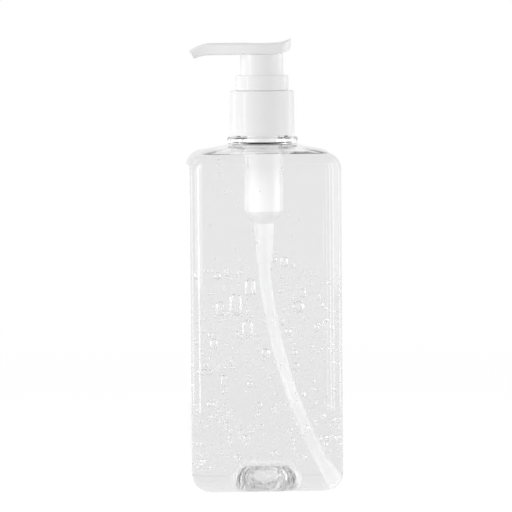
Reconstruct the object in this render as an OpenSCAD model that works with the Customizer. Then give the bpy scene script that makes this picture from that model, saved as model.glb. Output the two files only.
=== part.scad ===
// Square clear bottle of gel with a white lotion pump.
// Z is up, the origin is the middle of the standing plane, and the spout points to -X.

/* [Bottle] */
// Width across the flats of the square body
body_w = 65.5; // [58:0.5:76]
// Radius of the body's four upright corners
corner_r = 8.6; // [6:0.2:12]
// Height of the shoulder where it meets the neck
shoulder_z = 149.1; // [125:0.1:190]
// Rise of the shoulder from its outer edge to the neck
shoulder_rise = 3.0; // [1.5:0.1:8]
// Radius of the rounding between wall and shoulder
top_edge_r = 7.4; // [3:0.2:8.4]
// Radius of the rounding between wall and base
base_edge_r = 8.0; // [3:0.2:8.4]
// Thickness of the body wall
wall_t = 0.65; // [0.4:0.05:1.2]
// Thickness of the base
base_t = 1.2; // [0.8:0.1:2]
// Radius of the push-up under the base
push_up_r = 18.5; // [14:0.5:20]
// Height of the push-up under the base
push_up_h = 10.5; // [5:0.5:14]

/* [Neck] */
// Outer radius of the neck under its thread
neck_r = 10.9; // [10.4:0.1:11.4]
// Radius of the bore through the neck
neck_bore_r = 9.1; // [8.8:0.1:9.6]
// Radius where the shoulder meets the neck
neck_root_r = 15.6; // [15.4:0.1:17]
// Outer radius of the carrying bead
bead_r = 15.3; // [14.4:0.1:15.4]
// Height of the carrying bead
bead_h = 3.1; // [2:0.1:4]
// Height of the neck above the bead
finish_h = 15.5; // [14:0.1:18]
// Pitch of the closure thread
thread_pitch = 3.175; // [2.5:0.025:4]
// Turns of the closure thread
thread_turns = 1.5; // [1:0.25:2]
// Height of a thread ridge
thread_h = 1.05; // [0.7:0.05:1.2]
// Height above the bead where the neck's thread starts
thread_z = 4.4; // [3.6:0.1:6]
// Gap between the neck's thread and the closure round it
thread_gap = 0.45; // [0.25:0.05:0.6]

/* [Gel] */
// Depth of the air space between gel and shoulder top
head_space = 4.1; // [3:0.1:12]
// Diameter scale of the large air bubbles
bubble_scale = 1.0; // [0.5:0.1:1.4]

/* [Closure] */
// Outer radius of the screw closure
closure_r = 14.0; // [13.6:0.1:15]
// Wall of the closure outside its thread
closure_wall = 1.6; // [1:0.1:1.8]
// Gap between the bead and the closure's lower edge
closure_gap = 0.6; // [0.3:0.1:2]
// Thickness of the closure's top plate
closure_top_t = 1.4; // [1:0.1:2]
// Thickness of the sealing gasket
gasket_t = 0.8; // [0.5:0.1:1.5]

/* [Collar ring] */
// Outer radius of the collar ring that stands on the closure
ring_r = 11.55; // [11.2:0.05:12.5]
// Height of the collar ring above the closure
ring_h = 6.35; // [4:0.05:10]
// Wall between the ring's well and the closure's hole
barrel_wall = 0.95; // [0.8:0.05:1.2]
// Thickness of the floor of the ring's well
well_floor_t = 0.9; // [0.7:0.1:1.2]
// Height of the guide tube that stands on the well's floor
guide_h = 2.4; // [1:0.2:3]

/* [Pump engine] */
// Outer radius of the pump cylinder
cylinder_r = 8.3; // [7.6:0.1:8.6]
// Wall of the pump cylinder
cylinder_wall = 1.0; // [0.7:0.1:1.4]
// Depth of the pump cylinder below its flange
cylinder_depth = 48.8; // [44:0.2:60]
// Thickness of the flange that hangs the pump on the neck
flange_t = 2.2; // [1.8:0.1:3]
// Length of the socket for the dip tube
socket_h = 17; // [10:0.5:22]
// Radius of the inlet ball
ball_r = 2.4; // [2:0.05:2.8]
// Lift of the inlet ball
ball_lift = 1.5; // [0.8:0.1:2]
// Travel of the head when pressed
stroke = 7.2; // [4:0.1:7.4]
// Slip of the piston along the stem that opens the stem ports
piston_slip = 1.2; // [0.6:0.1:1.8]
// Height of the piston
piston_h = 7.4; // [6:0.1:8]
// Thickness of the plate at the foot of the stem
seat_t = 1.2; // [0.8:0.1:2]
// Length of the boss that centres the spring
spring_boss_h = 4; // [2:0.1:5]
// Length of the cross-shaped shank inside the stem
shank_h = 6; // [4:0.1:8]
// Outer radius of the hollow stem
stem_r = 3.1; // [2.6:0.1:3.4]
// Bore radius of the hollow stem
stem_bore_r = 1.6; // [1.2:0.1:1.9]
// Radius of the spring wire
wire_r = 0.4; // [0.3:0.05:0.6]
// Mean radius of the spring coil
coil_r = 4.6; // [4.4:0.1:5.2]
// Number of working turns of the spring
coil_turns = 7.5; // [5:0.5:12]

/* [Dip tube] */
// Outer radius of the dip tube
tube_r = 2.6; // [2.2:0.1:3]
// Bore radius of the dip tube
tube_bore_r = 1.8; // [1.2:0.1:2]
// Direction in plan that the dip tube leans to
tube_azimuth = -41; // [-60:1:-30]
// Angle of the first bend below the socket
tube_lead_angle = 10; // [4:1:14]
// Radius of the first bend
tube_lead_rho = 60; // [40:5:90]
// Distance from the middle of the tube's open end to the body's side wall
tube_side_gap = 3.8; // [3.4:0.2:12]
// Height of the middle of the tube's open end above the base
tube_base_gap = 2.3; // [2.2:0.1:8]

/* [Pump head] */
// Outer radius of the head's skirt
skirt_r = 9.35; // [8.6:0.05:9.6]
// Wall of the head's skirt
skirt_wall = 1.1; // [0.8:0.1:1.6]
// Visible height of the skirt between ring and spout
skirt_h = 8.8; // [7.6:0.1:14]
// Height of the spout where it leaves the head
spout_h = 5.4; // [4.5:0.1:8]
// Width of the spout where it leaves the head
spout_w = 9.6; // [7:0.1:12]
// Reach of the spout tip from the pump axis
spout_reach = 31.6; // [24:0.2:45]
// Drop of the spout tip below the spout's underside
spout_drop = 1.4; // [0.6:0.1:4]
// Width of the spout at its tip
tip_w = 6.0; // [4:0.1:8]
// Bore radius of the spout
spout_bore_r = 1.5; // [1:0.1:2]
// Reach of the thumb lip behind the pump axis
lip_reach = 12.7; // [10.5:0.1:15]
// Rise of the thumb lip above the finger pad
lip_rise = 1.6; // [0.5:0.1:3]
// Depth of the dish in the finger pad
pad_dish = 0.35; // [0.1:0.05:0.8]

/* [Clearances] */
// Radial gap between parts that turn or slide on each other
run_gap = 0.05; // [0.02:0.01:0.1]
// Radial gap between parts that pass each other freely
free_gap = 0.3; // [0.2:0.05:0.5]
// Gap between the gel and what it wets
wet_gap = 0.05; // [0.02:0.01:0.2]

/* [Hidden] */
$fn = 96;

// Upright sizes of the neck and what stands on it
bead_z0 = shoulder_z + 0.3;
bead_z1 = bead_z0 + bead_h;
neck_z1 = bead_z1 + finish_h;
flange_z0 = neck_z1 + gasket_t;
well_z0 = flange_z0 + 1.1;
flange_z1 = flange_z0 + flange_t;
closure_z0 = bead_z1 + closure_gap;
closure_z1 = flange_z1 + run_gap + closure_top_t;
ring_z0 = closure_z1 + 0.25;
ring_z1 = ring_z0 + ring_h;
well_floor_z = well_z0 + well_floor_t;
guide_z1 = well_floor_z + guide_h;

// Radii that follow from the fits
cylinder_bore_r = cylinder_r - cylinder_wall;
closure_bore_r = max(closure_r - closure_wall, neck_r + thread_h + thread_gap);
closure_out_r = closure_bore_r + closure_wall;
flange_r = closure_bore_r - free_gap - 0.1;
well_r = skirt_r + free_gap;
barrel_r = well_r + barrel_wall;
hole_r = barrel_r + 0.2;
socket_r = tube_r + 0.75;

// Heights inside the pump cylinder
cylinder_z0 = flange_z0 - cylinder_depth;
valve_z = cylinder_z0 + 1.0;
ball_z = valve_z - 4.3 + sqrt(2) * (ball_r + run_gap / 2);
chamber_r = ball_r + 0.6;
cage_r = chamber_r + 0.6;
cage_z1 = ball_z + ball_r + ball_lift + 0.6;
socket_z1 = cylinder_z0 - 5;
socket_z0 = socket_z1 - socket_h;
tube_top_z = socket_z1 - 3;

// The dip tube's long bend, from the end of its first bend to its open end near the corner
lead_out = tube_lead_rho * (1 - cos(tube_lead_angle));
lead_down = tube_lead_rho * sin(tube_lead_angle);
end_out = (body_w / 2 - wall_t - tube_side_gap) / max(cos(tube_azimuth), abs(sin(tube_azimuth)));
end_z = base_t + tube_base_gap;
chord = [end_out - lead_out, socket_z0 - lead_down - end_z];
half_bend = atan2(chord[0], chord[1]) - tube_lead_angle;
tube_bend = 2 * half_bend;
tube_bend_steps = 16;
tube_lead_steps = 4;
tube_sides = 24;
tube_rho = norm(chord) / (2 * sin(half_bend));
plug_z0 = flange_z0 - 0.4;
seat_z = plug_z0 - 0.4 - piston_slip - piston_h;
seat_r = coil_r + wire_r + 0.3;
spring_z0 = valve_z;
spring_z1 = seat_z - seat_t;

// Heights of the head
skirt_z0 = well_floor_z + free_gap / 2 + stroke;
boss_z0 = guide_z1 + free_gap + stroke;
spout_z0 = ring_z1 + skirt_h;
pad_z = spout_z0 + spout_h;
boss_r = stem_r + 1.3;

// A rounded square ring of points: half width a, corner radius r
corner_steps = 8;
function rounded_square(a, r) = [
  for (k = [0:3], j = [0:corner_steps + 3])
    let (
      c = a - r,
      t = min(j, corner_steps) / corner_steps * 90 + 90 * k,
      f = max(j - corner_steps, 0) / 4,
      here = [c * (cos(90 * k) - sin(90 * k)), c * (sin(90 * k) + cos(90 * k))],
      side = [-sin(90 * k), cos(90 * k)]
    )
    here + r * [cos(t), sin(t)] - 2 * c * f * [cos(90 * k), sin(90 * k)]
];

// The same ring drawn on a circle, each point kept on its own bearing
function on_circle(points, r) = [for (p = points) r * p / norm(p)];
function lift(points, z) = [for (p = points) [p[0], p[1], z]];
function blend(p, q, u) = [for (i = [0:len(p) - 1]) p[i] * (1 - u) + q[i] * u];

function middle(points) = [for (k = [0:2]) sum([for (p = points) p[k]]) / len(points)];
function sum(v) = v * [for (x = v) 1];

// A closed solid through a list of rings with equal counts of points
module skin(rings) {
  n = len(rings[0]);
  m = len(rings);
  points = [for (ring = rings) each ring];
  sides = [
    for (i = [0:m - 2], j = [0:n - 1])
      [i * n + j, (i + 1) * n + j, (i + 1) * n + (j + 1) % n, i * n + (j + 1) % n]
  ];
  bottom = [for (j = [0:n - 1]) [n * m, j, (j + 1) % n]];
  top = [for (j = [0:n - 1]) [n * m + 1, (m - 1) * n + (j + 1) % n, (m - 1) * n + j]];
  ends = [middle(rings[0]), middle(rings[m - 1])];
  polyhedron(concat(points, ends), concat(bottom, sides, top), convexity = 6);
}

// Rings of the square body drawn in by inset on every side, up to its neck circle
function body_rings(inset, floor_z, neck_z, circle_r) =
  let (
    a = body_w / 2 - inset,
    r = corner_r - inset,
    rb = base_edge_r - inset,
    rt = top_edge_r - inset,
    edge_angle = 78,
    edge_z = neck_z - shoulder_rise,
    wall_z1 = edge_z - rt * sin(edge_angle),
    steps = 6,
    base = [
      for (i = [0:steps])
        let (t = 90 * i / steps, d = rb * (1 - sin(t)))
        lift(rounded_square(a - d, r - d), floor_z + rb * (1 - cos(t)))
    ],
    edge = [
      for (i = [0:steps])
        let (t = edge_angle * i / steps, d = rt * (1 - cos(t)))
        lift(rounded_square(a - d, r - d), wall_z1 + rt * sin(t))
    ],
    last = edge[steps],
    circle_top = lift(on_circle(rounded_square(a, r), circle_r), neck_z),
    roof = [for (i = [1:4]) blend(last, circle_top, i / 4)]
  )
  concat(base, edge, roof);

// Solid of revolution from a list of [radius, height] points
module turned(profile) {
  rotate_extrude() polygon(profile);
}

// A helical ridge from the radius of its foot to that of its crest, from height z up
module helical_ridge(r_foot, r_crest, z, foot, crest) {
  per_turn = 36;
  n = round(thread_turns * per_turn);
  outward = r_crest > r_foot;
  function section(i) =
    let (t = 360 * i / per_turn, h = z + thread_pitch * i / per_turn)
    [
      [r_foot * cos(t), r_foot * sin(t), h - foot / 2],
      [r_crest * cos(t), r_crest * sin(t), h - crest / 2],
      [r_crest * cos(t), r_crest * sin(t), h + crest / 2],
      [r_foot * cos(t), r_foot * sin(t), h + foot / 2]
    ];
  skin([for (i = [0:n]) section(outward ? n - i : i)]);
}

// The hollow dome of the push-up, grown by g
module push_up(g) {
  r1 = push_up_r + g;
  h = push_up_h + g;
  turned([
    [0, -1], [r1, -1], [r1, 0], [r1 - 0.7, 0.11 * h], [r1 - 1.8, 0.25 * h], [r1 - 6.4, 0.77 * h],
    [r1 - 7.6, 0.9 * h], [r1 - 9.4, 0.975 * h], [r1 - 11.5, h], [0, 0.97 * h]
  ]);
}

// The space inside the bottle up to the neck, drawn in further by g
module bottle_cavity(g) {
  difference() {
    skin(body_rings(wall_t + g, base_t + g, shoulder_z - 0.9 - g, neck_root_r - 1.2 - g));
    push_up(base_t + g);
  }
}

module bottle() {
  root_in_r = neck_root_r - 1.2;
  color([0.93, 0.95, 0.96, 0.35])
    union() {
      difference() {
        union() {
          skin(body_rings(0, 0, shoulder_z, neck_root_r));
          turned([
            [0, shoulder_z - 2], [neck_r + 1.6, shoulder_z - 2], [neck_r + 1.6, bead_z0],
            [bead_r - 0.7, bead_z0], [bead_r - 0.2, bead_z0 + 0.2], [bead_r, bead_z0 + 0.7],
            [bead_r, bead_z1 - 0.9], [bead_r - 0.3, bead_z1 - 0.3], [bead_r - 0.9, bead_z1],
            [neck_r + 0.4, bead_z1], [neck_r, bead_z1 + 0.4], [neck_r, neck_z1 - 0.4],
            [neck_r - 0.4, neck_z1], [0, neck_z1]
          ]);
        }
        bottle_cavity(0);
        turned([
          [0, shoulder_z - 3], [root_in_r - 0.4, shoulder_z - 3], [root_in_r - 0.4, shoulder_z - 0.9],
          [neck_bore_r + 1, bead_z0], [neck_bore_r, bead_z0 + 1], [neck_bore_r, neck_z1 + 1],
          [0, neck_z1 + 1]
        ]);
        push_up(0);
      }
      helical_ridge(neck_r - 0.3, neck_r + thread_h, bead_z1 + thread_z, 1.7, 0.7);
    }
}

// One air bubble: an upright capsule
module bubble(at, r, stretch) {
  translate(at) {
    translate([0, 0, -stretch / 2]) sphere(r * bubble_scale, $fn = 48);
    cylinder(r = r * bubble_scale, h = stretch, center = true, $fn = 48);
    translate([0, 0, stretch / 2]) sphere(r * bubble_scale, $fn = 48);
  }
}

// Large bubbles in the gel: place, radius and upright stretch
big_bubbles = [
  [[-6.8, -18, 88.2], 2.6, 3.1],
  [[-13.1, -17, 80.8], 3.0, 4.4],
  [[-19.6, -15, 79], 2.1, 2.6],
  [[13.8, -18, 79.5], 3.0, 0.4],
  [[-8.1, -17, 70.3], 2.6, 3.4],
  [[-22.6, -16, 63.8], 1.75, 1.6],
  [[8, -17, 99], 1.95, 1.3],
  [[9.3, -20, 69], 1.75, 0.4],
  [[-0.4, -19, 59.9], 2.15, 0.4],
  [[-18.2, -16, 47.7], 1.7, 2.6],
  [[-12.8, -16, 14.6], 1.4, 0.8],
  [[3, -15, 35], 1.4, 0.6],
  [[-11.4, -17, 25], 1.5, 0.8],
  [[-8.9, -18, 22.4], 1.8, 1.0],
  [[-17.2, -17, 28.5], 1.3, 0.8],
  [[9.9, -19, 26], 1.5, 0.8],
  [[11.1, -18, 21.5], 1.4, 0.6],
  [[14, 14, 52], 1.6, 0.8],
  [[-6, 16, 44], 1.5, 0.6],
  [[-20, 9, 92], 1.4, 0.8],
  [[17, 12, 84], 1.7, 1.2]
];

module gel() {
  color([0.90, 0.92, 0.93, 0.6])
    difference() {
      intersection() {
        bottle_cavity(wet_gap);
        translate([-body_w, -body_w, 0])
          cube([2 * body_w, 2 * body_w, shoulder_z - head_space]);
      }
      pump_wetted(wet_gap);
      tube_route(tube_r + wet_gap, wet_gap);
      for (b = big_bubbles)
        bubble(b[0], b[1], b[2]);
    }
}

// Outside of the pump cylinder below the neck, grown by g
module pump_wetted(g) {
  turned([
    [0, socket_z0 - g], [socket_r + g, socket_z0 - g], [socket_r + 1 + g, socket_z1 - 1],
    [socket_r + 1.1 + g, socket_z1 - g], [socket_r + 1.8 + g, socket_z1 + 1.0 - g],
    [cylinder_r - 0.8 + g, cylinder_z0 - 1.2 - g], [cylinder_r + g, cylinder_z0 + 0.4 - g],
    [cylinder_r + g, flange_z0], [0, flange_z0]
  ]);
}

// Stations along the dip tube from its open end up: distance out, height and lean
function tube_stations(over) = concat(
  [
    for (i = [tube_bend_steps:-1:1])
      let (t = tube_lead_angle + (tube_bend + over * 180 / PI / tube_rho) * i / tube_bend_steps)
      [
        lead_out + tube_rho * (cos(tube_lead_angle) - cos(t)),
        socket_z0 - lead_down - tube_rho * (sin(t) - sin(tube_lead_angle)),
        t
      ]
  ],
  [
    for (i = [tube_lead_steps:-1:0])
      let (t = tube_lead_angle * i / tube_lead_steps)
      [tube_lead_rho * (1 - cos(t)), socket_z0 - tube_lead_rho * sin(t), t]
  ],
  [[0, tube_top_z + over, 0]]
);

// The dip tube's route as a round bar of radius r, longer by over at both ends
module tube_route(r, over) {
  rotate([0, 0, tube_azimuth])
    skin([
      for (at = tube_stations(over))
        [
          for (j = [0:tube_sides - 1])
            let (q = 360 * j / tube_sides)
            [at[0] + r * cos(q) * cos(at[2]), r * sin(q), at[1] + r * cos(q) * sin(at[2])]
        ]
    ]);
}

module dip_tube() {
  color([0.92, 0.93, 0.94])
    difference() {
      tube_route(tube_r, 0);
      tube_route(tube_bore_r, 1);
    }
}

module pump_cylinder() {
  color([0.96, 0.96, 0.96])
    difference() {
      union() {
        pump_wetted(0);
        translate([0, 0, flange_z0]) cylinder(r = flange_r, h = flange_z1 - flange_z0);
      }
      // Recess for the collar ring's barrel
      translate([0, 0, well_z0]) cylinder(r = barrel_r + 0.05, h = 5);
      // Bore, with the ball cage left standing on its floor
      difference() {
        translate([0, 0, valve_z]) cylinder(r = cylinder_bore_r, h = 100);
        cylinder(r = cage_r, h = cage_z1);
      }
      // Ball chamber above its cone seat, closed by the cage lip
      turned([
        [0, socket_z1 - 4], [1.5, socket_z1 - 4], [1.5, valve_z - 2.8],
        [chamber_r, valve_z - 4.3 + chamber_r], [chamber_r, cage_z1 - 0.6],
        [ball_r - 0.35, cage_z1 - 0.3], [ball_r - 0.35, cage_z1 + 1], [0, cage_z1 + 1]
      ]);
      // Side windows of the cage
      for (k = [0:3])
        rotate([0, 0, 45 + 90 * k])
          translate([0, -0.7, valve_z + 0.4])
            cube([cage_r + 1, 1.4, ball_z - valve_z + 0.8]);
      // Socket for the dip tube
      translate([0, 0, socket_z0 - 1]) cylinder(r = tube_r, h = tube_top_z - socket_z0 + 1);
    }
}

module neck_gasket() {
  color([0.85, 0.86, 0.88])
    difference() {
      translate([0, 0, neck_z1]) cylinder(r = flange_r - 0.1, h = gasket_t);
      translate([0, 0, neck_z1 - 1]) cylinder(r = cylinder_r + 0.2, h = gasket_t + 2);
    }
}

module inlet_ball() {
  color([0.75, 0.77, 0.8]) translate([0, 0, ball_z]) sphere(ball_r);
}

// A compression spring with closed end turns
module return_spring() {
  per_turn = 20;
  end_turns = 1;
  turns = coil_turns + 2 * end_turns;
  n = round(turns * per_turn);
  pitch_end = 2 * wire_r + 0.06;
  low = spring_z0 + wire_r + 0.03;
  high = spring_z1 - wire_r - 0.03;
  rise = high - low - 2 * end_turns * pitch_end;
  function level(t) =
    t < end_turns ? low + t * pitch_end :
    t > turns - end_turns ? high - (turns - t) * pitch_end :
    low + end_turns * pitch_end + rise * (t - end_turns) / coil_turns;
  function section(i) =
    let (t = i / per_turn, a = 360 * t)
    [
      for (k = [0:7])
        let (q = 45 * k, r = coil_r + wire_r * cos(q))
        [r * cos(a), r * sin(a), level(t) + wire_r * sin(q)]
    ];
  color([0.7, 0.72, 0.75]) skin([for (i = [0:n]) section(n - i)]);
}

module stem_seat() {
  boss_z = seat_z - seat_t - spring_boss_h;
  spring_boss_r = coil_r - wire_r - 0.4;
  color([0.93, 0.93, 0.93])
    union() {
      translate([0, 0, seat_z - seat_t]) cylinder(r = seat_r, h = seat_t);
      turned([
        [0, boss_z], [spring_boss_r - 0.8, boss_z], [spring_boss_r, boss_z + 1],
        [spring_boss_r, seat_z - seat_t], [0, seat_z - seat_t]
      ]);
      // Cross-shaped shank inside the stem
      intersection() {
        translate([0, 0, seat_z]) cylinder(r = stem_bore_r - run_gap, h = shank_h);
        for (a = [0, 90])
          rotate([0, 0, a])
            translate([-stem_r, -0.35, seat_z - 0.2]) cube([2 * stem_r, 0.7, shank_h + 0.2]);
      }
    }
}

module piston() {
  z = seat_z + run_gap;
  lip_r = cylinder_bore_r - run_gap;
  hub_r = stem_r + run_gap;
  color([0.95, 0.95, 0.95])
    turned([
      [hub_r, z], [hub_r + 0.7, z], [hub_r + 1.1, z + 0.6], [hub_r + 1.1, z + 2.6],
      [lip_r - 1.3, z + 2.9], [lip_r - 0.6, z + 0.7], [lip_r, z + 0.5], [lip_r, z + 1.3],
      [lip_r - 0.3, z + 2.2], [lip_r - 0.3, z + piston_h - 1.8], [lip_r, z + piston_h - 1.0],
      [lip_r, z + piston_h - 0.3], [lip_r - 0.6, z + piston_h - 0.4], [lip_r - 1.3, z + 4.3],
      [hub_r + 1.1, z + 4.6], [hub_r + 1.1, z + piston_h - 0.1], [hub_r, z + piston_h - 0.1]
    ]);
}

module stem() {
  z0 = seat_z + run_gap;
  color([0.94, 0.94, 0.94])
    difference() {
      translate([0, 0, z0]) cylinder(r = stem_r, h = spout_z0 + 0.4 - z0);
      translate([0, 0, z0 - 1]) cylinder(r = stem_bore_r, h = spout_z0 + 3 - z0);
      for (a = [0, 90])
        rotate([0, 0, a + 45]) translate([-stem_r - 1, -0.7, z0 - 1]) cube([2 * stem_r + 2, 1.4, 2.4]);
    }
}

module collar_ring() {
  guide_r = stem_r + run_gap;
  color([0.97, 0.97, 0.97])
    difference() {
      union() {
        translate([0, 0, well_z0]) cylinder(r = barrel_r, h = ring_z0 - well_z0 + 1);
        turned([
          [0, ring_z0], [ring_r - 0.1, ring_z0], [ring_r, ring_z0 + 0.15],
          [ring_r, ring_z1 - 0.35], [ring_r - 0.1, ring_z1 - 0.1], [ring_r - 0.35, ring_z1],
          [0, ring_z1]
        ]);
        translate([0, 0, plug_z0]) cylinder(r = cylinder_bore_r - 0.02, h = 3);
      }
      // The well that takes the head's skirt, round the guide tube
      difference() {
        translate([0, 0, well_floor_z]) cylinder(r = well_r, h = 20);
        cylinder(r = guide_r + 1.2, h = guide_z1);
      }
      cylinder(r = guide_r, h = 300);
      translate([0, 0, plug_z0 - 1]) cylinder(r1 = cylinder_bore_r - 0.4, r2 = guide_r, h = 1.8);
    }
}

module closure() {
  color([0.97, 0.97, 0.97])
    union() {
      difference() {
        turned([
          [0, closure_z0], [closure_out_r, closure_z0], [closure_out_r - 0.08, closure_z1 - 0.5],
          [closure_out_r - 0.2, closure_z1 - 0.15], [closure_out_r - 0.55, closure_z1],
          [0, closure_z1]
        ]);
        translate([0, 0, closure_z0 - 1])
          cylinder(r = closure_bore_r, h = closure_z1 - closure_top_t - closure_z0 + 1);
        cylinder(r = hole_r, h = 300);
      }
      helical_ridge(
        closure_bore_r + 0.3, closure_bore_r - thread_h, bead_z1 + thread_z - 1.2, 1.7, 0.7
      );
    }
}

// One cross-section of the spout: a flat-bottomed arch of width w between two heights
function arch(w, z0, z1) =
  let (n = 20, h = (z1 - z0) / 2, c = (z0 + z1) / 2)
  [
    for (i = [0:n - 1])
      let (t = 360 * i / n, e = 0.62)
      [w / 2 * sign(cos(t)) * pow(abs(cos(t)), e), c + h * sign(sin(t)) * pow(abs(sin(t)), e)]
  ];

// The spout: arches along its reach, which taper and then turn down to the tip
module spout() {
  n = 14;
  x0 = -skirt_r + 3;
  function width(u) = spout_w + (tip_w - spout_w) * u;
  function roof(u) = pad_z - (u < 0.62 ? 0 : 3.4 * pow((u - 0.62) / 0.38, 2));
  function under(u) = spout_z0 - (u < 0.66 ? 0 : spout_drop * pow((u - 0.66) / 0.34, 2));
  function slant(u) = u < 0.7 ? 0 : 0.62 * (u - 0.7) / 0.3;
  function ring(u) =
    let (x = x0 - (spout_reach + x0) * u, z0 = under(u), z1 = roof(u))
    [for (p = arch(width(u), z0, z1)) [x + slant(u) * (z1 - p[1]), p[0], p[1]]];
  skin([for (i = [0:n]) ring(1 - i / n)]);
}

module pump_head() {
  bore_z = spout_z0 + spout_h * 0.45;
  dish_r = (pow(skirt_r, 2) + pow(pad_dish, 2)) / (2 * pad_dish);
  color([0.97, 0.97, 0.97])
    difference() {
      union() {
        difference() {
          union() {
            translate([0, 0, skirt_z0]) cylinder(r = skirt_r, h = pad_z - skirt_z0);
            spout();
          }
          // Dished finger pad
          translate([0, 0, pad_z - pad_dish + dish_r]) sphere(dish_r);
        }
        thumb_lip();
      }
      // Hollow inside the skirt, round the boss that grips the stem
      difference() {
        translate([0, 0, skirt_z0 - 1]) cylinder(r = skirt_r - skirt_wall, h = spout_z0 - skirt_z0);
        cylinder(r = boss_r, h = 300);
      }
      cylinder(r = boss_r + 1, h = boss_z0);
      cylinder(r = stem_r, h = spout_z0 + 0.4);
      cylinder(r = stem_bore_r, h = bore_z + spout_bore_r);
      // Passage along the spout to the tip
      translate([0, 0, bore_z]) rotate([0, -90, 0]) cylinder(r = spout_bore_r, h = spout_reach - 5);
      translate([-spout_reach + 5, 0, bore_z]) rotate([0, -118, 0]) cylinder(r = spout_bore_r, h = 12);
      translate([-spout_reach + 5, 0, bore_z]) sphere(spout_bore_r);
    }
}

// The lip behind the finger pad
module thumb_lip() {
  intersection() {
    rotate([90, 0, 0])
      translate([0, 0, -skirt_r])
        linear_extrude(2 * skirt_r)
          polygon([
            [skirt_r - 2, spout_z0 + 1], [skirt_r - 0.5, spout_z0 + 1.2], [lip_reach - 1.2, spout_z0 + 2.2],
            [lip_reach - 0.6, spout_z0 + 2.6], [lip_reach, pad_z + lip_rise - 0.4],
            [lip_reach - 0.3, pad_z + lip_rise], [lip_reach - 1.6, pad_z + lip_rise - 0.5],
            [skirt_r - 1, pad_z - 0.05], [skirt_r - 2, pad_z - 0.3]
          ]);
    translate([0, 0, spout_z0]) cylinder(r = lip_reach, h = spout_h + lip_rise + 1);
    translate([0, -skirt_r + 1, spout_z0]) cube([lip_reach + 1, 2 * skirt_r - 2, 20]);
  }
}

bottle();
gel();
dip_tube();
pump_cylinder();
neck_gasket();
inlet_ball();
return_spring();
stem_seat();
piston();
stem();
collar_ring();
closure();
pump_head();
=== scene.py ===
"""Looks of a clear square gel bottle with a white lotion pump: finishes, gel bubbles, stage, lamps and camera."""

import logging
import math
import random
from dataclasses import dataclass, field
from enum import Enum

import bpy
from mathutils import Matrix, Vector


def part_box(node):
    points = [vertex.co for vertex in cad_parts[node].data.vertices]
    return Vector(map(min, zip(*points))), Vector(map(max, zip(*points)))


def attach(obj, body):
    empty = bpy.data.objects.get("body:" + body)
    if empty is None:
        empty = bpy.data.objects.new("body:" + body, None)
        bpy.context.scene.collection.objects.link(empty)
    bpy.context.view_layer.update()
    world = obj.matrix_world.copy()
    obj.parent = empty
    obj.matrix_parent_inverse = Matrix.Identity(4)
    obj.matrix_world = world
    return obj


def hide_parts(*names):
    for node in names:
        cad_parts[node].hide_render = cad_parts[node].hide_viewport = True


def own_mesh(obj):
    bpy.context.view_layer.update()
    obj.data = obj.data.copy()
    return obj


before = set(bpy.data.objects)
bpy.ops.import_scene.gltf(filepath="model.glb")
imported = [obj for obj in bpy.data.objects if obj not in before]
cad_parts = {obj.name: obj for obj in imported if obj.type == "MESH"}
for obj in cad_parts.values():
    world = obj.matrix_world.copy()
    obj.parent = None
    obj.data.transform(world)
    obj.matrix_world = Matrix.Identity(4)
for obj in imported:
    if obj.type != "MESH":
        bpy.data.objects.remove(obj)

LOG = logging.getLogger("gel_bottle")
MM = 0.001
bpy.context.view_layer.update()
CLEAR = (1.0, 1.0, 1.0, 1.0)
GLASS_BOUNCES = 48
MATT_BOUNCES = 8


class Ray(Enum):
    """Kinds of ray that the backdrop and the floor tell apart."""

    CAMERA = "Is Camera Ray"
    GLOSSY = "Is Glossy Ray"
    TRANSMISSION = "Is Transmission Ray"


def linear(code: str) -> tuple[float, float, float, float]:
    """Turns an sRGB hex colour into linear red, green, blue and alpha.

    Args:
        code: Six hex digits, such as "F4F4F2".

    Returns:
        Linear values from 0 to 1, with alpha 1.
    """
    levels = [int(code[i : i + 2], 16) / 255 for i in (0, 2, 4)]
    return (*(v / 12.92 if v <= 0.04045 else ((v + 0.055) / 1.055) ** 2.4 for v in levels), 1.0)


def add_node(tree: bpy.types.NodeTree, kind: str, settings: dict | None = None, **inputs) -> bpy.types.Node:
    """Adds a shader node with its settings and links.

    Args:
        tree: The node tree that gets the node.
        kind: Blender's identifier of the node.
        settings: Attributes set on the node itself.
        inputs: Values or output sockets by input name, with _ for a space, or in0, in1 by number.

    Returns:
        The new node.
    """
    node = tree.nodes.new(kind)
    for name, value in (settings or {}).items():
        setattr(node, name, value)
    for name, value in inputs.items():
        key = int(name[2:]) if name[:2] == "in" and name[2:].isdigit() else name.replace("_", " ")
        if isinstance(value, bpy.types.NodeSocket):
            tree.links.new(value, node.inputs[key])
        else:
            node.inputs[key].default_value = value
    return node


def new_material(name: str) -> tuple[bpy.types.Material, bpy.types.NodeTree, bpy.types.Node]:
    """Makes an empty node material.

    Args:
        name: The material's name.

    Returns:
        The material, its node tree and its output node.
    """
    material = bpy.data.materials.new(name)
    material.use_nodes = True
    material.node_tree.nodes.clear()
    return material, material.node_tree, material.node_tree.nodes.new("ShaderNodeOutputMaterial")


def grain(tree: bpy.types.NodeTree, size: float, detail: float = 2.0) -> bpy.types.NodeSocket:
    """Adds a noise in the piece's own coordinates.

    Args:
        tree: The material's node tree.
        size: Size of one blotch, in metres.
        detail: Octaves of finer noise.

    Returns:
        The noise value, from 0 to 1.
    """
    place = add_node(tree, "ShaderNodeTexCoord").outputs["Object"]
    return add_node(tree, "ShaderNodeTexNoise", Vector=place, Scale=1 / size, Detail=detail).outputs["Fac"]


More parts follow.
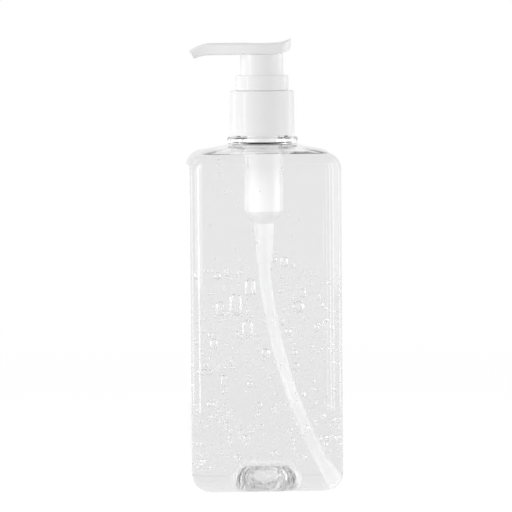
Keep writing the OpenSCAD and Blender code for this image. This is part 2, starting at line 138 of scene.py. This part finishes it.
@dataclass(frozen=True)
class BlownPolyester:
    """Clear PET, stretch-blown: glossy, with faint ripples where the hot wall met the cool mould."""

    tint: str = "FFFFFF"
    ior: float = 1.57
    roughness: float = 0.01
    ripple_size: float = 9 * MM
    ripple_height: float = 0.02 * MM
    ripple_strength: float = 0.6

    def material(self) -> bpy.types.Material:
        """Returns the clear wall's material."""
        material, tree, out = new_material("blown_polyester")
        bump = add_node(
            tree,
            "ShaderNodeBump",
            Height=grain(tree, self.ripple_size, 1.0),
            Strength=self.ripple_strength,
            Distance=self.ripple_height,
        )
        shader = add_node(
            tree,
            "ShaderNodeBsdfPrincipled",
            Base_Color=linear(self.tint),
            Roughness=self.roughness,
            IOR=self.ior,
            Transmission_Weight=1.0,
            Normal=bump.outputs["Normal"],
        )
        tree.links.new(shader.outputs["BSDF"], out.inputs["Surface"])
        return material


@dataclass(frozen=True)
class WaterGel:
    """Clear carbomer gel, poured and set: water's refraction, with a faint grey haze along its depth."""

    ior: float = 1.36
    haze: str = "B0B0B0"
    haze_density: float = 6.2
    swirl_size: float = 14 * MM
    swirl_height: float = 0.03 * MM
    swirl_strength: float = 0.5

    def material(self) -> bpy.types.Material:
        """Returns the gel's material, which darkens light along its path."""
        material, tree, out = new_material("water_gel")
        bump = add_node(
            tree,
            "ShaderNodeBump",
            Height=grain(tree, self.swirl_size, 1.0),
            Strength=self.swirl_strength,
            Distance=self.swirl_height,
        )
        shader = add_node(
            tree,
            "ShaderNodeBsdfPrincipled",
            Base_Color=CLEAR,
            Roughness=0.0,
            IOR=self.ior,
            Specular_Tint=(0.0, 0.0, 0.0, 1.0),
            Transmission_Weight=1.0,
            Normal=bump.outputs["Normal"],
        )
        depth = add_node(
            tree, "ShaderNodeVolumeAbsorption", Color=linear(self.haze), Density=self.haze_density
        )
        tree.links.new(shader.outputs["BSDF"], out.inputs["Surface"])
        tree.links.new(depth.outputs["Volume"], out.inputs["Volume"])
        return material


@dataclass(frozen=True)
class MouldedPlastic:
    """Opaque moulded plastic with a fine tool grain and soft flow marks."""

    name: str
    colour: str
    flow_colour: str
    roughness: float
    ior: float = 1.49
    grain_size: float = 0.35 * MM
    grain_height: float = 0.004 * MM
    grain_strength: float = 0.35
    flow_size: float = 7 * MM
    subsurface: float = 0.0
    subsurface_radius: float = 1.0 * MM

    def material(self) -> bpy.types.Material:
        """Returns the plastic's material."""
        material, tree, out = new_material(self.name)
        # A colour mix has its two colours at inputs 6 and 7, and its result at output 2
        tone = add_node(
            tree,
            "ShaderNodeMix",
            {"data_type": "RGBA"},
            Factor=grain(tree, self.flow_size),
            in6=linear(self.colour),
            in7=linear(self.flow_colour),
        )
        bump = add_node(
            tree,
            "ShaderNodeBump",
            Height=grain(tree, self.grain_size),
            Strength=self.grain_strength,
            Distance=self.grain_height,
        )
        shader = add_node(
            tree,
            "ShaderNodeBsdfPrincipled",
            Base_Color=tone.outputs[2],
            Roughness=self.roughness,
            IOR=self.ior,
            Subsurface_Weight=self.subsurface,
            Subsurface_Scale=self.subsurface_radius,
            Subsurface_Radius=(1.0, 1.0, 1.0),
            Normal=bump.outputs["Normal"],
        )
        tree.links.new(shader.outputs["BSDF"], out.inputs["Surface"])
        return material


@dataclass(frozen=True)
class StainlessSteel:
    """Stainless steel, drawn or ground: bright, with fine marks that spread its shine."""

    name: str
    colour: str = "D2D3D4"
    roughness: float = 0.22
    mark_size: float = 0.25 * MM
    marks: tuple[float, float] = (0.7, 1.5)

    def material(self) -> bpy.types.Material:
        """Returns the metal's material."""
        material, tree, out = new_material(self.name)
        spread = add_node(
            tree,
            "ShaderNodeMapRange",
            Value=grain(tree, self.mark_size, 3.0),
            To_Min=self.roughness * self.marks[0],
            To_Max=self.roughness * self.marks[1],
        )
        shader = add_node(
            tree,
            "ShaderNodeBsdfPrincipled",
            Base_Color=linear(self.colour),
            Metallic=1.0,
            Roughness=spread.outputs["Result"],
        )
        tree.links.new(shader.outputs["BSDF"], out.inputs["Surface"])
        return material


# Homopolymer polypropylene, moulded white with a satin tool: dense white with a soft sheen
SATIN_WHITE = MouldedPlastic("satin_white_polypropylene", "FDFDFD", "FAFAFA", roughness=0.13)
# Natural polyethylene, extruded: milky, waxy and a little translucent
MILKY_TUBE = MouldedPlastic(
    "natural_polyethylene", "FCFCFC", "F8F9F9", roughness=0.38, ior=1.51, grain_size=0.6 * MM, subsurface=0.15
)
# Cross-linked foam, sliced: pale and matt with open cells
SEAL_FOAM = MouldedPlastic(
    "seal_foam", "DADBDE", "CFD1D4", roughness=0.85, ior=1.45, grain_size=0.25 * MM, grain_height=0.05 * MM
)


def select_only(piece: bpy.types.Object) -> None:
    """Makes one object the only selected and active one."""
    bpy.ops.object.select_all(action="DESELECT")
    piece.select_set(True)
    bpy.context.view_layer.objects.active = piece


def dress(piece: bpy.types.Object, material: bpy.types.Material) -> None:
    """Gives a piece or a CAD node one material all over.

    Args:
        piece: The object to dress.
        material: Its finish.
    """
    if not piece.material_slots:
        piece.data.materials.append(material)
    for slot in piece.material_slots:
        slot.material = material


def fine_copy(node: str, name: str, crease_deg: float) -> bpy.types.Object:
    """Copies a node's mesh as a piece of its own, closed and smooth, which stands for the node.

    Args:
        node: The node that the piece replaces.
        name: The piece's name.
        crease_deg: Edges sharper than this stay crisp.

    Returns:
        The new piece, with its place in its mesh.
    """
    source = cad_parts[node]
    select_only(source)
    bpy.ops.object.duplicate()
    piece = bpy.context.view_layer.objects.active
    piece.parent = None
    piece.matrix_world = Matrix.Identity(4)
    for key in [k for k in piece.keys() if k.startswith("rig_")]:
        del piece[key]
    piece.name = name
    select_only(piece)
    if piece.data.has_custom_normals:
        bpy.ops.mesh.customdata_custom_splitnormals_clear()
    bpy.ops.object.mode_set(mode="EDIT")
    bpy.ops.mesh.select_all(action="SELECT")
    bpy.ops.mesh.remove_doubles(threshold=0.002 * MM)
    bpy.ops.object.mode_set(mode="OBJECT")
    bpy.ops.object.shade_smooth_by_angle(angle=math.radians(crease_deg))
    return piece


def weigh_normals(piece: bpy.types.Object) -> None:
    """Lets broad faces set the shading, so that flat walls stay flat beside rounded corners."""
    select_only(piece)
    modifier = piece.modifiers.new("broad_faces", "WEIGHTED_NORMAL")
    modifier.mode = "FACE_AREA_WITH_ANGLE"
    modifier.weight = 90
    modifier.keep_sharp = True
    bpy.ops.object.modifier_apply(modifier=modifier.name)


@dataclass
class ClearBottle:
    """The blown bottle: a clear wall round the gel, smooth at its corners."""

    crease_deg: float = 40.0
    finish: BlownPolyester = field(default_factory=BlownPolyester)

    def build(self) -> bpy.types.Object:
        """Returns the smooth clear bottle."""
        piece = fine_copy("bottle", "bottle_wall", self.crease_deg)
        weigh_normals(piece)
        dress(piece, self.finish.material())
        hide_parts("bottle")
        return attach(piece, "bottle")


@dataclass
class BubblyGel:
    """The gel with its trapped air: it wets the wall and holds large, middling and fine bubbles."""

    wetting: float = 0.2 * MM
    crease_deg: float = 40.0
    seed: int = 7
    clusters: int = 46
    cluster_reach: float = 4.5 * MM
    middling: int = 110
    fine: int = 640
    fine_r: tuple[float, float] = (0.2 * MM, 0.55 * MM)
    middling_r: tuple[float, float] = (0.5 * MM, 1.05 * MM)
    stretch: tuple[float, float] = (1.0, 2.1)
    film: float = 0.5 * MM
    clustered: float = 0.6
    clears_from: float = 0.42
    clears_over: float = 0.3
    thinning: float = 0.86
    bare_foot: float = 0.12
    lean: tuple[float, float] = (0.82, 0.18)
    finish: WaterGel = field(default_factory=WaterGel)

    def crowding(self, share: float, across: float, half: float) -> float:
        """Says how likely a bubble hangs at a place in the gel.

        Args:
            share: Height, from 0 at the base to 1 at the top.
            across: Place across the bottle, in metres.
            half: The gel's half width, in metres.

        Returns:
            The likelihood, from 0 to 1.
        """
        rise = min(max((share - self.clears_from) / self.clears_over, 0.0), 1.0)
        upright = 1.0 - self.thinning * rise * rise * (3 - 2 * rise)
        floor = min(share / self.bare_foot, 1.0)
        return upright * floor * (self.lean[0] - self.lean[1] * across / half)

    def places(self, piece: bpy.types.Object) -> list[tuple[Vector, float, float]]:
        """Picks where the small bubbles hang: in loose clusters, mostly low and to the left.

        Args:
            piece: The gel, which each bubble lies inside with a film round it.

        Returns:
            Centre, radius and upright stretch of each bubble.
        """
        draw = random.Random(self.seed)
        low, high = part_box("gel")
        half = high.x
        found: list[tuple[Vector, float, float]] = []
        hearts: list[Vector] = []
        sizes = [self.middling_r] * self.middling + [self.fine_r] * self.fine
        while len(found) < len(sizes):
            small, large = sizes[len(found)]
            spot = Vector(
                (draw.uniform(-half, half), draw.uniform(-half, half), draw.uniform(low.z, high.z))
            )
            share = (spot.z - low.z) / (high.z - low.z)
            if draw.random() > self.crowding(share, spot.x, half):
                continue
            if len(hearts) < self.clusters:
                hearts.append(spot)
            elif draw.random() < self.clustered:
                heart = draw.choice(hearts)
                spot = heart + Vector([draw.gauss(0, self.cluster_reach) for _ in range(3)])
            radius, stretch = draw.uniform(small, large), draw.uniform(*self.stretch)
            hit, near, normal, _ = piece.closest_point_on_mesh(spot)
            clear = (spot - near).length - radius * stretch - self.film
            if hit and clear > 0 and (spot - near).dot(normal) < 0:
                found.append((spot, radius, stretch))
        return found

    def bubble(self, at: Vector, radius: float, stretch: float, rings: int) -> bpy.types.Object:
        """Makes one air bubble whose faces look into the air, as the gel's own surface does.

        Args:
            at: Its centre.
            radius: Its radius, in metres.
            stretch: Its height over its width.
            rings: Subdivisions of the ball.

        Returns:
            The bubble.
        """
        bpy.ops.mesh.primitive_ico_sphere_add(subdivisions=rings, radius=radius, location=at)
        piece = bpy.context.view_layer.objects.active
        bpy.ops.object.mode_set(mode="EDIT")
        bpy.ops.mesh.select_all(action="SELECT")
        bpy.ops.transform.resize(value=(1, 1, stretch), center_override=at)
        bpy.ops.mesh.flip_normals()
        bpy.ops.object.mode_set(mode="OBJECT")
        return piece

    def build(self) -> bpy.types.Object:
        """Returns the gel, grown by its wetting into what it touches, with its small bubbles."""
        piece = fine_copy("gel", "bubbly_gel", self.crease_deg)
        bpy.ops.object.mode_set(mode="EDIT")
        bpy.ops.mesh.select_all(action="SELECT")
        bpy.ops.transform.shrink_fatten(value=self.wetting)
        bpy.ops.object.mode_set(mode="OBJECT")
        weigh_normals(piece)
        masters: dict[int, bpy.types.Mesh] = {}
        for level in (2, 3):
            ball = self.bubble(Vector((0, 0, 0)), 1.0, 1.0, level)
            bpy.ops.object.shade_smooth()
            masters[level] = ball.data
            bpy.data.objects.remove(ball)
        small = []
        for at, radius, stretch in self.places(piece):
            mesh = masters[3 if radius > self.fine_r[1] else 2].copy()
            scaled = Matrix.Diagonal((radius, radius, radius * stretch, 1))
            mesh.transform(Matrix.Translation(at) @ scaled)
            ball = bpy.data.objects.new("air", mesh)
            bpy.context.scene.collection.objects.link(ball)
            small.append(ball)
        select_only(piece)
        for ball in small:
            ball.select_set(True)
        bpy.ops.object.join()
        dress(piece, self.finish.material())
        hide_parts("gel")
        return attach(piece, "bottle")


@dataclass
class SpoutHead:
    """The pump's head: its skirt as in the CAD, under one smooth body from spout to thumb lip.

    Widths, rises and drops are in metres. The bend, drop and slant of the tip fade out over a share of
    the spout's reach, which is counted from the tip to the spout's root.
    """

    stations: int = 60
    spout_share: float = 0.6
    around: int = 44
    overlap: float = 0.3 * MM
    tip_half_w: float = 3.0 * MM
    head_half_w: float = 9.38 * MM
    lip_rise: float = 1.6 * MM
    spout_h: float = 5.4 * MM
    root_x: float = 6.35 * MM
    roof_drop: float = 3.4 * MM
    roof_fade: float = 0.38
    tip_drop: float = 1.4 * MM
    drop_fade: float = 0.34
    tip_slant: float = 0.62
    slant_fade: float = 0.3
    slim_share: float = 0.12
    tip_square: float = 0.58
    head_square: float = 0.38
    back_half_w: float = 0.3 * MM
    lip_from: float = 6.0 * MM
    lip_short: float = 6.2 * MM
    lip_power: float = 1.7
    under_rise: float = 2.3 * MM
    under_power: float = 1.5
    dish_r: float = 8.3 * MM
    dish: float = 0.35 * MM
    bore_r: float = 1.5 * MM
    bore_deep: float = 12.0 * MM
    bore_in: float = 1.2 * MM
    bore_tilt_deg: float = 62.0
    crease_deg: float = 38.0
    box: tuple[Vector, Vector] = field(default_factory=lambda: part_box("pump_head"))

    def fade(self, from_tip: float, reach: float, share: float) -> float:
        """Falls evenly from 1 at the spout's tip to 0 at a share of the spout's reach.

        Args:
            from_tip: Distance from the tip.
            reach: The spout's length from tip to root.
            share: Share of the reach where nothing is left.

        Returns:
            The value, from 1 to 0.
        """
        return max(1 - from_tip / (reach * share), 0.0)

    def section(self, x: float) -> tuple[float, float, float, float, float]:
        """Gives the body's section at a place along the spout.

        Args:
            x: Distance behind the pump's axis; the spout runs to the negative side.

        Returns:
            Half width, height of the underside and of the top, squareness and slant.
        """
        low, high = self.box
        pad = high.z - self.lip_rise
        under, roof, slant = pad - self.spout_h, pad, 0.0
        if x <= 0:
            from_tip, reach = x - low.x, -low.x - self.root_x
            flare = (from_tip / -low.x - self.slim_share) / (1 - self.slim_share)
            flare = min(max(flare, 0.0), 1.0)
            widening = flare * flare * (3 - 2 * flare)
            half = self.tip_half_w + (self.head_half_w - self.tip_half_w) * widening
            square = self.tip_square + (self.head_square - self.tip_square) * flare
            roof -= self.roof_drop * self.fade(from_tip, reach, self.roof_fade) ** 2
            under -= self.tip_drop * self.fade(from_tip, reach, self.drop_fade) ** 2
            slant = self.tip_slant * self.fade(from_tip, reach, self.slant_fade)
        else:
            rounded = math.sqrt(max(high.x**2 - x**2, self.back_half_w**2))
            half = min(self.head_half_w, rounded)
            behind = max((x - self.lip_from) / (high.x - self.lip_short), 0.0)
            roof = min(roof + self.lip_rise * behind**self.lip_power, high.z)
            under += self.under_rise * behind**self.under_power
            square = self.head_square
        return half, under, roof, square, slant

    def station(self, share: float) -> float:
        """Gives the place along the spout of one of the body's rings.

        Args:
            share: The ring's place in their row, from 0 at the tip to 1 at the thumb lip.

        Returns:
            Distance behind the pump's axis; the rings crowd towards the lip's round end.
        """
        low, high = self.box
        if share < self.spout_share:
            return low.x * (1 - share / self.spout_share)
        return high.x * math.sin(math.pi / 2 * (share - self.spout_share) / (1 - self.spout_share))

    def point(self, x: float, turn: float) -> tuple[float, float, float]:
        """Gives a point on the body's skin.

        Args:
            x: Distance behind the pump's axis.
            turn: Angle round the section, in radians.

        Returns:
            The point, with the finger dish taken off the top.
        """
        half, under, roof, square, slant = self.section(x)
        wide, tall = math.cos(turn), math.sin(turn)
        y = half * math.copysign(abs(wide) ** square, wide)
        z = (under + roof) / 2 + (roof - under) / 2 * math.copysign(abs(tall) ** square, tall)
        from_axis = math.hypot(x, y)
        if tall > 0 and from_axis < self.dish_r:
            z -= self.dish * (1 - (from_axis / self.dish_r) ** 2)
        return x + slant * (roof - z), y, z

    def body(self) -> bpy.types.Object:
        """Lofts the upper body through its sections and bores its outlet."""
        bpy.ops.mesh.primitive_grid_add(
            x_subdivisions=self.stations, y_subdivisions=self.around, size=1
        )
        piece = bpy.context.view_layer.objects.active
        columns = sorted({round(v.co.x, 5) for v in piece.data.vertices})
        for vertex in piece.data.vertices:
            share = columns.index(round(vertex.co.x, 5)) / (len(columns) - 1)
            turn = 2 * math.pi * (vertex.co.y + 0.5)
            vertex.co = self.point(self.station(share), turn)
        select_only(piece)
        bpy.ops.object.mode_set(mode="EDIT")
        bpy.ops.mesh.select_all(action="SELECT")
        bpy.ops.mesh.remove_doubles(threshold=0.01 * MM)
        bpy.ops.mesh.fill_holes(sides=0)
        bpy.ops.mesh.normals_make_consistent(inside=False)
        bpy.ops.object.mode_set(mode="OBJECT")
        tip_x = self.box[0].x
        _, under, roof, _, _ = self.section(tip_x)
        bpy.ops.mesh.primitive_cylinder_add(
            vertices=32,
            radius=self.bore_r,
            depth=self.bore_deep,
            location=(tip_x + self.bore_in, 0, (under + roof) / 2),
            rotation=(0, math.radians(self.bore_tilt_deg), 0),
        )
        bore = bpy.context.view_layer.objects.active
        select_only(piece)
        cut = piece.modifiers.new("outlet", "BOOLEAN")
        cut.operation = "DIFFERENCE"
        cut.object = bore
        bpy.ops.object.modifier_apply(modifier=cut.name)
        bpy.data.objects.remove(bore)
        return piece

    def build(self, material: bpy.types.Material) -> bpy.types.Object:
        """Returns the head in its white plastic."""
        piece = fine_copy("pump_head", "spout_head", self.crease_deg)
        level = self.box[1].z - self.lip_rise - self.spout_h + self.overlap
        bpy.ops.object.mode_set(mode="EDIT")
        bpy.ops.mesh.select_all(action="SELECT")
        bpy.ops.mesh.bisect(
            plane_co=(0, 0, level), plane_no=(0, 0, 1), use_fill=True, clear_outer=True
        )
        bpy.ops.object.mode_set(mode="OBJECT")
        bpy.ops.object.shade_smooth_by_angle(angle=math.radians(self.crease_deg))
        weigh_normals(piece)
        upper = self.body()
        select_only(upper)
        bpy.ops.object.shade_smooth_by_angle(angle=math.radians(self.crease_deg))
        select_only(piece)
        upper.select_set(True)
        bpy.ops.object.join()
        dress(piece, material)
        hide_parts("pump_head")
        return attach(piece, "head")


@dataclass
class LotionPump:
    """The white pump with its curved tube, and what works inside it."""

    crease_deg: float = 32.0
    wire_crease_deg: float = 60.0
    ball_roughness: float = 0.12

    def build(self) -> list[bpy.types.Object]:
        """Returns the pieces of the pump that get a smoother mesh than their node."""
        white = SATIN_WHITE.material()
        milky = MILKY_TUBE.material()
        pieces = []
        for node, name, body, slot, material in (
            ("dip_tube", "curved_dip_tube", "pump", "tube_pe", milky),
            ("closure", "screw_closure", "closure", "white_pp", white),
        ):
            piece = fine_copy(node, name, self.crease_deg)
            weigh_normals(piece)
            dress(piece, material)
            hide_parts(node)
            pieces.append(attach(piece, body))
        pieces.append(SpoutHead().build(white))
        pieces.append(self.spring())
        for node in ("pump_cylinder", "collar_ring", "stem", "stem_seat"):
            dress(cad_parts[node], white)
        dress(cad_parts["piston"], milky)
        dress(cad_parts["neck_gasket"], SEAL_FOAM.material())
        ground = StainlessSteel("ground_ball_steel", roughness=self.ball_roughness)
        dress(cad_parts["inlet_ball"], ground.material())
        return pieces

    def spring(self) -> bpy.types.Object:
        """Returns the return spring, which shortens towards its foot as the head goes down."""
        piece = fine_copy("return_spring", "coil_spring", self.wire_crease_deg)
        dress(piece, StainlessSteel("drawn_spring_steel").material())
        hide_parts("return_spring")
        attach(piece, "pump")
        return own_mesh(piece)


@dataclass(frozen=True)
class SoftBox:
    """One soft lamp that stands on the floor and faces the pump's axis.

    The lengths are in metres, and the azimuth runs from the camera's side towards the right.
    """

    name: str
    azimuth_deg: float
    reach: float
    width: float
    tall: float
    watts: float
    mirrored: bool

    def build(self) -> bpy.types.Object:
        """Adds the lamp, which the camera doesn't see, and shiny surfaces only where it is mirrored."""
        turn = math.radians(self.azimuth_deg)
        at = Vector((self.reach * math.sin(turn), -self.reach * math.cos(turn), self.tall / 2))
        bpy.ops.object.light_add(type="AREA", location=at)
        lamp = bpy.context.view_layer.objects.active
        lamp.name = self.name
        lamp.data.shape = "RECTANGLE"
        lamp.data.size, lamp.data.size_y = self.width, self.tall
        lamp.data.energy = self.watts
        lamp.rotation_euler = (Vector((-at.x, -at.y, 0))).to_track_quat("-Z", "Y").to_euler()
        lamp.visible_camera = False
        lamp.visible_glossy = self.mirrored
        return lamp


@dataclass
class Studio:
    """Plain white stage: two broad soft lamps, and slim ones whose lines run down the corners."""

    floor_size: float = 8.0
    floor_colour: str = "F4F4F4"
    ambient: float = 0.46
    white: float = 1.0
    glossy_level: float = 0.86
    clear_share: float = 0.25
    shadow_share: float = 0.3
    open_floor: float = 0.58
    plain_from: float = 0.3
    plain_to: float = 0.9
    lamps: tuple[SoftBox, ...] = (
        SoftBox("left_soft_box", -72, 1.3, 1.3, 1.2, 7.6, False),
        SoftBox("right_soft_box", 90, 1.3, 0.9, 1.2, 4.4, False),
        SoftBox("left_strip", -68, 0.4, 0.05, 0.5, 0.22, True),
        SoftBox("back_left_strip", -121, 0.4, 0.05, 0.5, 0.1, True),
        SoftBox("right_front_strip", 27, 0.4, 0.03, 0.5, 0.045, True),
        SoftBox("right_strip", 46, 0.4, 0.04, 0.5, 0.1, True),
        SoftBox("right_side_strip", 64, 0.4, 0.05, 0.5, 0.11, True),
        SoftBox("back_right_strip", 114, 0.4, 0.05, 0.5, 0.13, True),
    )

    def world(self) -> None:
        """Makes the soft surroundings, plain white where the camera, glass or a shine shows them."""
        world = bpy.data.worlds.new("white_studio")
        bpy.context.scene.world = world
        world.use_nodes = True
        tree = world.node_tree
        tree.nodes.clear()
        path = add_node(tree, "ShaderNodeLightPath")
        plain = add_node(
            tree,
            "ShaderNodeMath",
            {"operation": "MAXIMUM"},
            in0=path.outputs[Ray.CAMERA.value],
            in1=path.outputs[Ray.TRANSMISSION.value],
        )
        level = add_node(
            tree,
            "ShaderNodeMapRange",
            Value=plain.outputs["Value"],
            To_Min=self.ambient,
            To_Max=self.white,
        )
        shine = add_node(
            tree,
            "ShaderNodeMath",
            {"operation": "MULTIPLY"},
            in0=path.outputs[Ray.GLOSSY.value],
            in1=self.glossy_level,
        )
        strength = add_node(
            tree,
            "ShaderNodeMath",
            {"operation": "MAXIMUM"},
            in0=level.outputs["Result"],
            in1=shine.outputs["Value"],
        )
        sky = add_node(
            tree, "ShaderNodeBackground", Color=CLEAR, Strength=strength.outputs["Value"]
        )
        out = add_node(tree, "ShaderNodeOutputWorld")
        tree.links.new(sky.outputs["Background"], out.inputs["Surface"])

    def floor(self) -> None:
        """Makes the pale floor, white where it lies open and shaded by the object's own shadow."""
        bpy.ops.mesh.primitive_plane_add(size=self.floor_size, location=(0, 0, 0))
        floor = bpy.context.view_layer.objects.active
        floor.name = "studio_floor"
        material, tree, out = new_material("white_floor")
        matt = add_node(tree, "ShaderNodeBsdfDiffuse", Color=linear(self.floor_colour))
        # The glow makes up for what the matt share of an open floor falls short of white
        glow_level = (self.white - self.shadow_share * self.open_floor) / (1 - self.shadow_share)
        path = add_node(tree, "ShaderNodeLightPath")
        glow = add_node(
            tree,
            "ShaderNodeMapRange",
            Value=path.outputs[Ray.TRANSMISSION.value],
            To_Min=glow_level,
            To_Max=self.white,
        )
        seen = add_node(
            tree,
            "ShaderNodeMath",
            {"operation": "MAXIMUM"},
            in0=path.outputs[Ray.CAMERA.value],
            in1=path.outputs[Ray.GLOSSY.value],
        )
        through = add_node(
            tree,
            "ShaderNodeMath",
            {"operation": "MULTIPLY"},
            in0=path.outputs[Ray.TRANSMISSION.value],
            in1=self.clear_share,
        )
        share = add_node(
            tree,
            "ShaderNodeMath",
            {"operation": "MULTIPLY_ADD"},
            in0=seen.outputs["Value"],
            in1=1 - self.shadow_share,
            in2=through.outputs["Value"],
        )
        light = add_node(
            tree, "ShaderNodeEmission", Color=CLEAR, Strength=glow.outputs["Result"]
        )
        mix = add_node(
            tree,
            "ShaderNodeMixShader",
            in0=share.outputs["Value"],
            in1=matt.outputs["BSDF"],
            in2=light.outputs["Emission"],
        )
        # Far from the bottle no shadow falls, and the floor meets the backdrop without a line
        place = add_node(tree, "ShaderNodeTexCoord").outputs["Object"]
        away = add_node(tree, "ShaderNodeVectorMath", {"operation": "LENGTH"}, in0=place)
        far = add_node(
            tree,
            "ShaderNodeMapRange",
            {"interpolation_type": "SMOOTHSTEP"},
            Value=away.outputs["Value"],
            From_Min=self.plain_from,
            From_Max=self.plain_to,
        )
        fade = add_node(
            tree,
            "ShaderNodeMath",
            {"operation": "MULTIPLY"},
            in0=seen.outputs["Value"],
            in1=far.outputs["Result"],
        )
        plain = add_node(tree, "ShaderNodeEmission", Color=CLEAR, Strength=self.white)
        ends = add_node(
            tree,
            "ShaderNodeMixShader",
            in0=fade.outputs["Value"],
            in1=mix.outputs["Shader"],
            in2=plain.outputs["Emission"],
        )
        tree.links.new(ends.outputs["Shader"], out.inputs["Surface"])
        dress(floor, material)

    def build(self) -> None:
        """Makes the world, the floor and the lamps."""
        self.world()
        self.floor()
        for lamp in self.lamps:
            lamp.build()


@dataclass
class PhotoCamera:
    """A long lens far from the bottle, turned a little and rolled as the photograph is."""

    azimuth_deg: float = -2.5
    elevation_deg: float = 3.5
    roll_deg: float = 0.48
    distance: float = 2.0
    pixel: float = 0.4355 * MM
    picture_px: int = 512
    axis_x_px: float = 263.4
    origin_y_px: float = 486.0
    sensor: float = 36.0
    clip: tuple[float, float] = (0.05, 50.0)

    def build(self) -> bpy.types.Object:
        """Returns the camera, which looks where the picture's middle lies on the pump's axis."""
        turn, tilt = math.radians(self.azimuth_deg), math.radians(self.elevation_deg)
        back = Vector(
            (math.sin(turn) * math.cos(tilt), -math.cos(turn) * math.cos(tilt), math.sin(tilt))
        )
        bpy.ops.object.camera_add()
        camera = bpy.context.view_layer.objects.active
        camera.name = "photo_camera"
        middle = self.picture_px / 2
        height = (self.origin_y_px - middle) * self.pixel / math.cos(tilt)
        camera.rotation_mode = "QUATERNION"
        facing = (-back).to_track_quat("-Z", "Y")
        rolled = facing @ Matrix.Rotation(math.radians(-self.roll_deg), 4, "Z").to_quaternion()
        aside = rolled @ Vector((1, 0, 0)) * (middle - self.axis_x_px) * self.pixel
        camera.rotation_quaternion = rolled
        camera.location = Vector((0, 0, height)) + aside + back * self.distance
        camera.data.sensor_width = self.sensor
        camera.data.lens = self.sensor * self.distance / (self.picture_px * self.pixel)
        camera.data.clip_start, camera.data.clip_end = self.clip
        bpy.context.scene.camera = camera
        return camera


def main() -> None:
    """Builds the stage and every piece in order."""
    logging.basicConfig(level=logging.INFO, format="%(name)s: %(message)s")
    scene = bpy.context.scene
    scene.view_settings.view_transform = "Standard"
    PhotoCamera().build()
    Studio().build()
    built = [ClearBottle().build(), BubblyGel().build(), *LotionPump().build()]
    for piece in built:
        LOG.info("%s: %d faces", piece.name, len(piece.data.polygons))
    # Light passes wall, gel, bubbles and tube and back, and the white parts inside must stay bright
    scene.cycles.max_bounces = GLASS_BOUNCES
    scene.cycles.transmission_bounces = GLASS_BOUNCES
    scene.cycles.glossy_bounces = GLASS_BOUNCES
    scene.cycles.diffuse_bounces = MATT_BOUNCES
    scene.cycles.blur_glossy = 0.0


if __name__ == "__main__":
    main()
